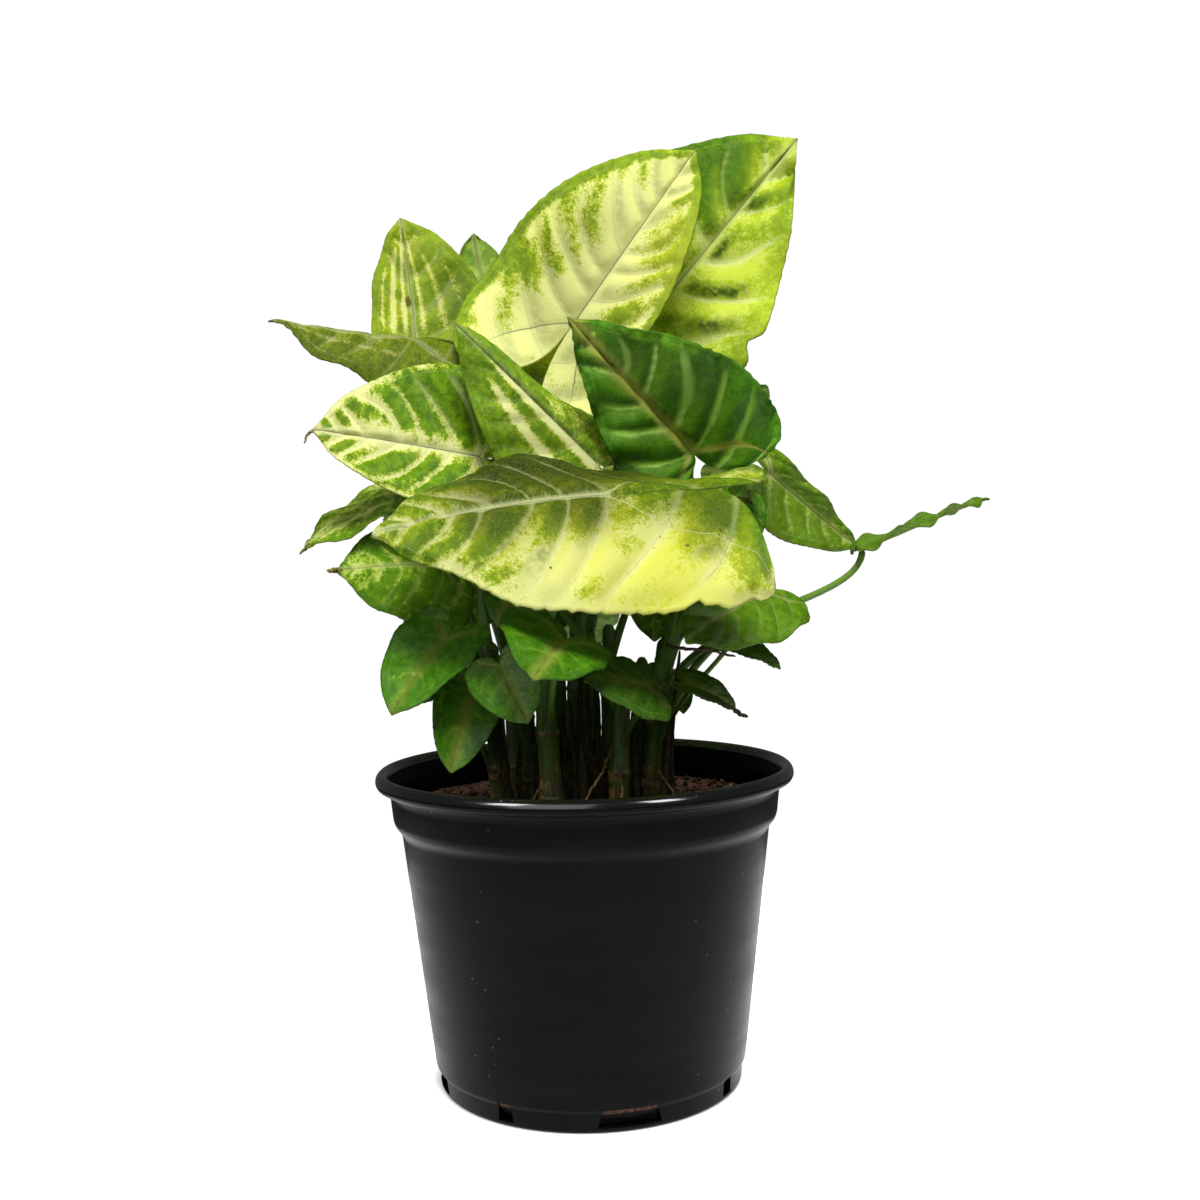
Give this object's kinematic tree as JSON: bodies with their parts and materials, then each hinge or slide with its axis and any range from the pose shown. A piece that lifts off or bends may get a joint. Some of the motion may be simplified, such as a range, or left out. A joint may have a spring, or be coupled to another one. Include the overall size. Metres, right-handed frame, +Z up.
{
  "type": "potted arrowhead plant",
  "caption": "Bushy house plant with variegated arrow-shaped leaves on slender stalks, growing from soil in a round black plastic nursery pot.",
  "frame": {"origin": "centre of the pot's flat underside, which rests on the surface", "axes": "+Z up, along the pot's axis and the plant's height; -Y towards the front view, +X to the right seen from the front"},
  "size_m": [0.2582, 0.1905, 0.3425],
  "materials": {
    "pot_plastic": "satin",
    "potting_soil": "matte",
    "stem": "satin",
    "leaf_variegated": "satin",
    "leaf_green": "satin",
    "leaf_dark": "satin"
  },
  "bodies": {
    "root": {"pot": "pot_plastic", "soil": "potting_soil", "stem_main": "stem", "stem_left": "stem", "stem_centre": "stem", "stem_right": "stem", "stem_middle": "stem", "stem_inner_left": "stem", "stem_inner": "stem", "stem_inner_right": "stem", "stem_inner_far": "stem", "stem_back_left": "stem", "stem_back": "stem", "stem_back_right": "stem", "back_right_top": "leaf_green", "front_top": "leaf_variegated", "dark_front": "leaf_dark", "striped": "leaf_variegated", "front_large": "leaf_variegated", "left_variegated": "leaf_variegated", "upper_left": "leaf_variegated", "far_left": "leaf_variegated", "behind_small": "leaf_green", "low_left_narrow": "leaf_green", "low_left_dark": "leaf_green", "right_low": "leaf_green", "right_side": "leaf_green", "right_inner": "leaf_green", "small_left_upper": "leaf_dark", "small_left_behind": "leaf_dark", "small_left_low": "leaf_dark", "small_middle": "leaf_dark", "small_middle_low": "leaf_dark", "small_dark_right": "leaf_dark", "small_right": "leaf_dark", "small_far_right": "leaf_dark", "behind_low_b": "leaf_dark", "right_dark": "leaf_dark", "back_large": "leaf_green", "back_left_large": "leaf_green", "back_right_large": "leaf_green", "back_upper": "leaf_green", "back_left_upper": "leaf_green", "back_right_upper": "leaf_green", "back_low_left": "leaf_green", "back_low_right": "leaf_green", "back_low_middle": "leaf_green", "back_small_left": "leaf_dark", "back_small_right": "leaf_dark", "inner_low_left": "leaf_green", "inner_low_middle": "leaf_green", "inner_low_right": "leaf_green", "small_right_back": "leaf_dark", "inner_dark": "leaf_dark"}
  },
  "joints": []
}
